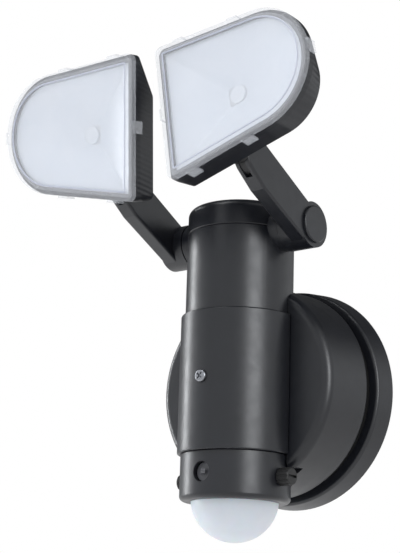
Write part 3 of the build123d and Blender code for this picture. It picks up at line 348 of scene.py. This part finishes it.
def terminal_polyamide():
    """Off-white polyamide of the terminal block."""
    material, tree, place, output = start_material("offwhite_polyamide")
    flow = grain(tree, place, 4.0)
    shader = add(tree, "ShaderNodeBsdfPrincipled", {
        "Base Color": two_tone(tree, flow, "#d8d6cc", "#e6e4db"),
        "Roughness": spread(tree, flow, 0.4, 0.55),
        "IOR": 1.53,
        "Normal": relief(tree, flow, 0.1, 0.05),
    })
    tree.links.new(shader.outputs[0], output.inputs[0])
    return material


def ribbed_abs():
    """The housing's ABS where the mould has fine level ribs for cooling, 2.2 mm apart."""
    material, tree, place, output = start_material("charcoal_abs_ribbed")
    # a wave of scale s repeats every 2 pi / (20 s) metres
    scale = 2 * math.pi / 20 / (RIB_SPACING_MM * MM)
    ribs = add(tree, "ShaderNodeTexWave", {"Vector": place, "Scale": scale, "Distortion": 0.0},
               bands_direction="Z").outputs["Fac"]
    cloud = grain(tree, place, 14.0)
    skin = grain(tree, place, 0.8, 2.0)
    mixed = add(tree, "ShaderNodeMath", {0: skin, 1: 0.25, 2: ribs}, operation="MULTIPLY_ADD")
    shader = add(tree, "ShaderNodeBsdfPrincipled", {
        "Base Color": two_tone(tree, cloud, CHARCOAL_LOW, CHARCOAL_HIGH),
        "Roughness": spread(tree, skin, 0.32, 0.44),
        "IOR": 1.5,
        "Normal": relief(tree, mixed.outputs[0], 0.32, 0.35),
    })
    tree.links.new(shader.outputs[0], output.inputs[0])
    return material


FINISHES = {
    "dark_housing": charcoal_abs,
    "black_trim": black_nylon_and_knob_shade,
    "dial_grey": dial_acetal,
    "seal_rubber": seal_rubber,
    "clear_lens": frosted_polycarbonate,
    "milky_dome": milky_polyethylene,
    "reflector_white": reflector_polycarbonate,
    "zinc_steel": zinc_plate,
    "black_steel": blackened_steel,
    "board_green": solder_mask,
    "board_aluminium": light_board_aluminium,
    "led_yellow": phosphor_silicone,
    "terminal_white": terminal_polyamide,
    "electronic_black": black_nylon_and_knob_shade,
}


def head_to_frame(name, points):
    """Turns points of a lamp head (right, up, forwards from its pivot, in mm) into the frame, in metres."""
    tilt = Matrix.Rotation(math.radians(HEAD_TILT[name]), 3, "X")
    turn = tilt @ Matrix.Rotation(math.radians(HEAD_ROLL[name]), 3, "Y")
    local = np.stack([points[..., 0], -points[..., 2], points[..., 1]], axis=-1)
    return (local @ np.array(turn).T + np.array(HEAD_PIVOT[name])) * MM


def head_outline(side, inset, steps=24):
    """Points and outward directions along the lamp head's D shape, moved inwards by the inset.

    Three arcs are joined by straight lines: a corner at each end of the flat side, and the round end. Each arc's
    points are its centre plus its radius times the cosine and sine of an angle that runs between the directions
    of the two neighbouring lines.
    """
    centre_x = HEAD_LENGTH - HEAD_END_RADIUS - PIVOT_FROM_FLAT
    flat_x = -PIVOT_FROM_FLAT
    half = HEAD_FLAT_LENGTH / 2
    reach = centre_x - flat_x
    slope = math.acos(HEAD_END_RADIUS / math.hypot(reach, half)) - math.atan2(reach, half)
    corner = max(HEAD_CORNER_RADIUS - inset, 0.4)
    corner_x = flat_x + inset + corner
    rise = (HEAD_END_RADIUS - inset - corner + (centre_x - corner_x) * math.sin(slope)) / math.cos(slope)
    edge = math.pi / 2 - slope
    arcs = (
        (corner_x, rise, corner, math.pi, edge, steps // 3),
        (centre_x, 0.0, HEAD_END_RADIUS - inset, edge, -edge, steps * 2),
        (corner_x, -rise, corner, -edge, -math.pi, steps // 3),
    )
    places, outward = [], []
    for x, y, radius, first, last, count in arcs:
        angle = np.linspace(first, last, count)
        direction = np.stack([np.cos(angle), np.sin(angle)], axis=-1)
        places.append(np.array([x, y + PIVOT_BELOW_MIDDLE]) + radius * direction)
        outward.append(direction)
    flip = np.array([side, 1.0])
    return np.concatenate(places) * flip, np.concatenate(outward) * flip


def carried_profile(path, outward, offsets, heights):
    """Vertices of a closed profile carried along a closed path: path point plus offset times the outward
    direction, at the profile's own height above the head's pivot."""
    flat = path[:, None, :] + outward[:, None, :] * offsets[None, :, None]
    high = np.broadcast_to(heights[None, :, None], flat.shape[:2] + (1,))
    return np.concatenate([flat, high], axis=-1)


def closed_grid_faces(rows, columns):
    """Four-sided faces of a grid that closes on itself both ways."""
    row, column = np.meshgrid(np.arange(rows), np.arange(columns), indexing="ij")
    next_row, next_column = (row + 1) % rows, (column + 1) % columns
    corners = [row * columns + column, next_row * columns + column,
               next_row * columns + next_column, row * columns + next_column]
    return np.stack(corners, axis=-1).reshape(-1, 4)


def make_piece(name, vertices, faces, material, body, smooth=True):
    """Puts vertices and faces into a mesh object with outward faces, and lets it ride on its body."""
    mesh = bpy.data.meshes.new(name)
    mesh.from_pydata(vertices.reshape(-1, 3).tolist(), [], faces.tolist())
    edit = bmesh.new()
    edit.from_mesh(mesh)
    bmesh.ops.remove_doubles(edit, verts=edit.verts, dist=1e-7)
    bmesh.ops.recalc_face_normals(edit, faces=edit.faces)
    edit.to_mesh(mesh)
    edit.free()
    mesh.polygons.foreach_set("use_smooth", np.full(len(mesh.polygons), smooth))
    mesh.materials.append(material)
    piece = bpy.data.objects.new(name, mesh)
    bpy.context.scene.collection.objects.link(piece)
    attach(piece, body)
    return piece


class LensRimSettings(PropertyGroup):
    """Sizes of the line round each lens."""
    inset: FloatProperty(name="Inset", description="From the lens edge to the middle of the line",
                         default=3.9 * MM, unit="LENGTH")
    width: FloatProperty(name="Width", description="Width of the line", default=0.9 * MM, unit="LENGTH")
    height: FloatProperty(name="Height", description="Height of the line above the window",
                          default=0.42 * MM, unit="LENGTH")


class StageSettings(PropertyGroup):
    """Sizes, levels and colours of the studio."""
    floor_colour: FloatVectorProperty(name="Floor colour", description="Colour of the pale floor", size=4,
                                      subtype="COLOR", min=0, max=1, default=linear("#f2f2f2"))
    floor_height: FloatProperty(name="Floor height", description="Height of the floor in the frame",
                                default=-0.36, unit="LENGTH")
    sky_level: FloatProperty(name="Sky level", description="Strength of the light from all round", default=0.90)
    ceiling_level: FloatProperty(name="Ceiling level", description="How bright the space overhead is in reflections",
                                 default=0.08)
    key_power: FloatProperty(name="Key power", description="Power of the large lamp", default=4.2, unit="POWER")
    strip_power: FloatProperty(name="Strip power", description="Power of the tall lamp on the left", default=4.6,
                               unit="POWER")
    side_power: FloatProperty(name="Side power", description="Power of the wide lamp on the right",
                              default=4.8, unit="POWER")


class LIGHT_OT_finishes(Operator):
    """Gives every part of the frame the finish of its material slot"""
    bl_idname = "security_light.finishes"
    bl_label = "Finish the parts"

    def execute(self, context):
        made = {}
        for part in frame["record"]["subparts"]:
            slot = part["material_slot"]
            if slot not in made:
                made[slot] = FINISHES[slot]()
            mesh = frame["nodes"][part["node"]].data
            mesh.materials.clear()
            mesh.materials.append(made[slot])
        ribbed = ribbed_abs()
        for name in SIDES:
            frame["nodes"][f"head_housing_{name}"].data.materials[0] = ribbed
        return {"FINISHED"}


class LIGHT_OT_lens_rims(Operator):
    """Adds the moulded line round each lens window"""
    bl_idname = "security_light.lens_rims"
    bl_label = "Add lens rims"

    def execute(self, context):
        sizes = context.scene.security_light_lens_rim
        material = rim_edge_painted_shade()
        inset, half, high = sizes.inset / MM, sizes.width / MM / 2, sizes.height / MM
        base = PIVOT_BEHIND_FRONT - RIM_SUNK_MM
        turn = np.linspace(0, 2 * np.pi, RIM_SECTION_POINTS, endpoint=False)
        offsets = half * np.cos(turn)
        heights = base + high / 2 + high / 2 * np.sin(turn)
        for name, side in SIDES.items():
            path, outward = head_outline(side, inset)
            vertices = head_to_frame(name, carried_profile(path, outward, offsets, heights))
            faces = closed_grid_faces(len(path), len(turn))
            make_piece(f"lens_rim_line_{name}", vertices, faces, material, f"head_{name}")
        return {"FINISHED"}


class LIGHT_OT_stage(Operator):
    """Sets up the pale floor, the studio lamps, the world and the camera"""
    bl_idname = "security_light.stage"
    bl_label = "Set the stage"

    def execute(self, context):
        levels = context.scene.security_light_stage
        self.lay_floor(levels)
        self.light_world(levels)
        self.hang_lamp("key_lamp", levels.key_power, *KEY_LAMP)
        self.hang_lamp("strip_lamp", levels.strip_power, *STRIP_LAMP)
        self.hang_lamp("side_lamp", levels.side_power, *SIDE_LAMP)
        self.place_camera(context)
        return {"FINISHED"}

    def lay_floor(self, levels):
        """A flat, square, pale floor."""
        half, height = FLOOR_HALF_WIDTH, levels.floor_height
        corners = [(-half, -half, height), (half, -half, height), (half, half, height), (-half, half, height)]
        mesh = bpy.data.meshes.new("floor")
        mesh.from_pydata(corners, [], [(0, 1, 2, 3)])
        material, tree, place, output = start_material("pale_floor")
        shader = add(tree, "ShaderNodeBsdfPrincipled", {
            "Base Color": levels.floor_colour,
            "Roughness": spread(tree, grain(tree, place, 400.0), 0.86, 0.94),
        })
        tree.links.new(shader.outputs[0], output.inputs[0])
        mesh.materials.append(material)
        floor = bpy.data.objects.new("floor", mesh)
        bpy.context.scene.collection.objects.link(floor)

    def light_world(self, levels):
        """White where it is seen or seen through, and a plain level of light on surfaces. In reflections it is a
        cool white that darkens overhead, towards the back on the left."""
        world = bpy.data.worlds.new("studio")
        world.use_nodes = True
        tree = world.node_tree
        tree.nodes.clear()
        path = add(tree, "ShaderNodeLightPath")
        seen = add(tree, "ShaderNodeMath", {0: path.outputs["Is Camera Ray"], 1: path.outputs["Is Glossy Ray"]},
                   operation="MAXIMUM")
        either = add(tree, "ShaderNodeMath", {0: seen.outputs[0], 1: path.outputs["Is Transmission Ray"]},
                     operation="MAXIMUM")
        plain = add(tree, "ShaderNodeBackground", {"Color": PLAIN_WHITE, "Strength": levels.sky_level})
        direction = add(tree, "ShaderNodeTexCoord").outputs["Generated"]
        away = add(tree, "ShaderNodeVectorMath", {0: direction, 1: DARK_DIRECTION},
                   operation="DOT_PRODUCT").outputs["Value"]
        overhead = add(tree, "ShaderNodeMapRange", {"Value": away, "From Min": DARK_FROM, "From Max": DARK_TO,
                                                    "To Min": 1.0,
                                                    "To Max": levels.ceiling_level}).outputs["Result"]
        mirrored = add(tree, "ShaderNodeBackground", {"Color": COOL_WHITE, "Strength": overhead})
        white = add(tree, "ShaderNodeBackground", {"Color": PLAIN_WHITE, "Strength": 1.0})
        shown = add(tree, "ShaderNodeMixShader", {0: path.outputs["Is Glossy Ray"], 1: white.outputs[0],
                                                  2: mirrored.outputs[0]})
        mixed = add(tree, "ShaderNodeMixShader", {0: either.outputs[0], 1: plain.outputs[0], 2: shown.outputs[0]})
        add(tree, "ShaderNodeOutputWorld", {"Surface": mixed.outputs[0]})
        bpy.context.scene.world = world

    def hang_lamp(self, name, power, place, target, size, sheen_only):
        """A soft rectangular lamp aimed at a point. One that is for sheen only shows in reflections and casts
        no light on surfaces or through them."""
        lamp = bpy.data.lights.new(name, "AREA")
        lamp.shape = "RECTANGLE"
        lamp.size, lamp.size_y = size
        lamp.energy = power
        lamp.color = COOL_WHITE[:3]
        held = bpy.data.objects.new(name, lamp)
        held.location = place
        held.rotation_euler = (Vector(target) - Vector(place)).to_track_quat("-Z", "Y").to_euler()
        held.visible_diffuse = not sheen_only
        held.visible_transmission = not sheen_only
        bpy.context.scene.collection.objects.link(held)

    def place_camera(self, context):
        """The camera at the photograph's viewpoint, turned by its pan, tilt and roll."""
        azimuth = math.radians(CAMERA_AZIMUTH + CAMERA_PAN)
        elevation = math.radians(CAMERA_ELEVATION + CAMERA_TILT)
        forward = -Vector((math.sin(azimuth) * math.cos(elevation), -math.cos(azimuth) * math.cos(elevation),
                           math.sin(elevation)))
        right = forward.cross(Vector((0, 0, 1))).normalized()
        up = right.cross(forward)
        roll = math.radians(CAMERA_ROLL)
        turned_right = right * math.cos(roll) + up * math.sin(roll)
        turned_up = up * math.cos(roll) - right * math.sin(roll)
        camera = bpy.data.cameras.new("camera")
        camera.sensor_fit = "HORIZONTAL"
        camera.sensor_width = SENSOR_WIDTH_MM
        camera.lens = SENSOR_WIDTH_MM * FOCAL_PIXELS / IMAGE_WIDTH
        camera.clip_start = CLIP_START
        held = bpy.data.objects.new("camera", camera)
        axes = Matrix((turned_right, turned_up, -forward)).transposed().to_4x4()
        held.matrix_world = Matrix.Translation(CAMERA_PLACE) @ axes
        context.scene.collection.objects.link(held)
        context.scene.camera = held
        context.scene.view_settings.view_transform = "Standard"


class LIGHT_PT_panel(Panel):
    """Lists the pieces and their settings"""
    bl_label = "Security light"
    bl_idname = "LIGHT_PT_panel"
    bl_space_type = "VIEW_3D"
    bl_region_type = "UI"
    bl_category = "Security light"

    def draw(self, context):
        layout = self.layout
        rim = context.scene.security_light_lens_rim
        stage = context.scene.security_light_stage
        layout.operator(LIGHT_OT_finishes.bl_idname)
        for name in ("inset", "width", "height"):
            layout.prop(rim, name)
        layout.operator(LIGHT_OT_lens_rims.bl_idname)
        for name in ("floor_colour", "floor_height", "sky_level", "ceiling_level", "key_power", "strip_power",
                     "side_power"):
            layout.prop(stage, name)
        layout.operator(LIGHT_OT_stage.bl_idname)


CLASSES = (LensRimSettings, StageSettings, LIGHT_OT_finishes, LIGHT_OT_lens_rims, LIGHT_OT_stage, LIGHT_PT_panel)


def register():
    for each in CLASSES:
        bpy.utils.register_class(each)
    bpy.types.Scene.security_light_lens_rim = PointerProperty(type=LensRimSettings)
    bpy.types.Scene.security_light_stage = PointerProperty(type=StageSettings)


def unregister():
    del bpy.types.Scene.security_light_stage
    del bpy.types.Scene.security_light_lens_rim
    for each in reversed(CLASSES):
        bpy.utils.unregister_class(each)


def main():
    register()
    bpy.ops.security_light.finishes()
    bpy.ops.security_light.lens_rims()
    bpy.ops.security_light.stage()


if __name__ == "__main__":
    main()
